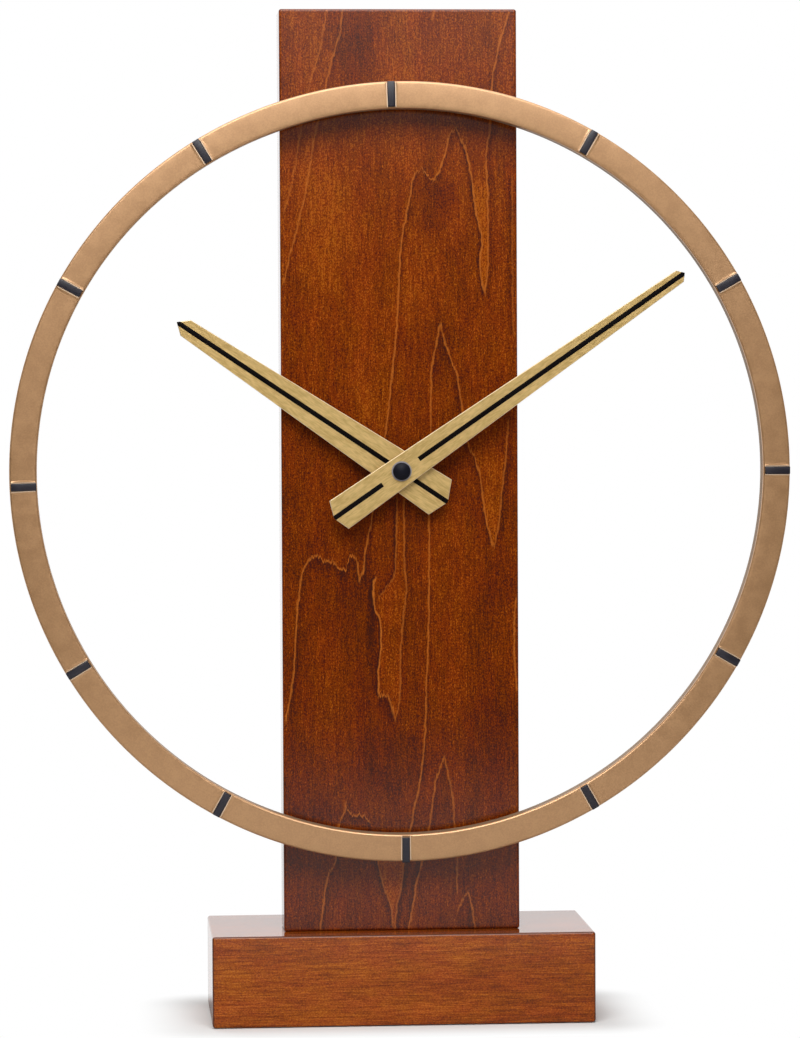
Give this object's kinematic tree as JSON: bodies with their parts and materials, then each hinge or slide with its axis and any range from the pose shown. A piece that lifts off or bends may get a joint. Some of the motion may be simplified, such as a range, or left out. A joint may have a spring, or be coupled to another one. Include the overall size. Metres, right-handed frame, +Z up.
{
  "type": "desk clock",
  "caption": "Desk clock: a tall wooden board on a block base carries an open metal ring with raised hour bars, two tapered hands and a quartz movement let into its back.",
  "frame": {"origin": "centre of the base's footprint, on the surface that the clock stands on", "axes": "+X to the right seen from the front, +Y away from the viewer, +Z up; the hands turn about +Y, and a positive turn is clockwise seen from the front"},
  "size_m": [0.28, 0.06, 0.3648],
  "materials": {
    "stained_wood": "satin",
    "felt": "matte",
    "beech": "matte",
    "steel": "satin",
    "ring_metal": "satin",
    "black_enamel": "gloss",
    "hand_metal": "satin",
    "black_metal": "gloss",
    "brass": "satin",
    "rubber": "matte",
    "movement_plastic": "matte",
    "wheel_plastic": "satin",
    "magnet": "satin",
    "knob_plastic": "satin",
    "soft_iron": "satin",
    "copper": "satin",
    "board_laminate": "satin",
    "black_resin": "gloss",
    "cell_sleeve": "gloss"
  },
  "bodies": {
    "clock_body": {"base_block": "stained_wood", "base_felt_pad": "felt", "upright_board": "stained_wood", "board_dowels": "beech", "base_screws": "steel", "dial_ring": "ring_metal", "hour_marker_bars": "black_enamel", "ring_standoffs": "steel", "ring_screws": "steel", "threaded_bush": "brass", "movement_gasket": "rubber", "fixing_washer": "brass", "fixing_nut": "brass", "movement_case": "movement_plastic", "movement_cover": "movement_plastic", "train_bridge": "movement_plastic", "bridge_screws": "steel", "stator_plate": "soft_iron", "coil_core": "soft_iron", "core_screws": "steel", "coil_bobbin": "wheel_plastic", "coil_winding": "copper", "circuit_board": "board_laminate", "timing_chip": "black_resin", "quartz_crystal": "steel", "battery_cell": "cell_sleeve", "battery_ends": "steel", "positive_contact": "steel", "negative_contact": "steel"},
    "minute_hand_group": {"minute_hand": "hand_metal", "minute_hand_stripe": "black_enamel", "hand_cap_nut": "black_metal", "minute_arbor": "wheel_plastic", "slip_spring": "steel"},
    "hour_hand_group": {"hour_hand": "hand_metal", "hour_hand_stripe": "black_enamel", "hour_wheel": "wheel_plastic"},
    "minute_wheel_group": {"minute_wheel": "wheel_plastic"},
    "setting_knob_group": {"setting_knob": "knob_plastic"},
    "rotor_group": {"rotor_magnet": "magnet", "rotor_pinion": "wheel_plastic"},
    "intermediate_group": {"intermediate_wheel": "wheel_plastic"},
    "seconds_group": {"seconds_wheel": "wheel_plastic"},
    "third_group": {"third_wheel": "wheel_plastic"},
    "centre_group": {"centre_wheel": "wheel_plastic"}
  },
  "joints": [
    {"name": "minute_hand_turn", "type": "hinge", "parent": "clock_body", "child": "minute_hand_group", "pos_m": [0, 0, 0.1992], "axis": [0, 1, 0], "continuous": true},
    {"name": "hour_hand_turn", "type": "hinge", "parent": "clock_body", "child": "hour_hand_group", "pos_m": [0, 0, 0.1992], "axis": [0, 1, 0], "continuous": true},
    {"name": "minute_wheel_turn", "type": "hinge", "parent": "clock_body", "child": "minute_wheel_group", "pos_m": [-0.00624, 0, 0.1956], "axis": [0, 1, 0], "continuous": true},
    {"name": "setting_knob_turn", "type": "hinge", "parent": "clock_body", "child": "setting_knob_group", "pos_m": [-0.01344, 0, 0.1956], "axis": [0, 1, 0], "continuous": true},
    {"name": "rotor_spin", "type": "hinge", "parent": "clock_body", "child": "rotor_group", "pos_m": [0.01056, 0, 0.21049], "axis": [0, 1, 0], "continuous": true},
    {"name": "intermediate_wheel_turn", "type": "hinge", "parent": "clock_body", "child": "intermediate_group", "pos_m": [0.0045, 0, 0.20699], "axis": [0, 1, 0], "continuous": true},
    {"name": "seconds_wheel_turn", "type": "hinge", "parent": "clock_body", "child": "seconds_group", "pos_m": [0, 0, 0.1992], "axis": [0, 1, 0], "continuous": true},
    {"name": "third_wheel_turn", "type": "hinge", "parent": "clock_body", "child": "third_group", "pos_m": [-0.00779, 0, 0.2037], "axis": [0, 1, 0], "continuous": true},
    {"name": "centre_wheel_turn", "type": "hinge", "parent": "clock_body", "child": "centre_group", "pos_m": [0, 0, 0.1992], "axis": [0, 1, 0], "continuous": true}
  ],
  "couplings": [
    {"joint": "hour_hand_turn", "follows": "minute_hand_turn", "ratio": 0.083333},
    {"joint": "minute_wheel_turn", "follows": "minute_hand_turn", "ratio": -0.33333},
    {"joint": "setting_knob_turn", "follows": "minute_hand_turn", "ratio": 1},
    {"joint": "intermediate_wheel_turn", "follows": "rotor_spin", "ratio": -0.16667},
    {"joint": "seconds_wheel_turn", "follows": "rotor_spin", "ratio": 0.033333},
    {"joint": "third_wheel_turn", "follows": "rotor_spin", "ratio": -0.0044444},
    {"joint": "centre_wheel_turn", "follows": "rotor_spin", "ratio": 0.00055556}
  ]
}
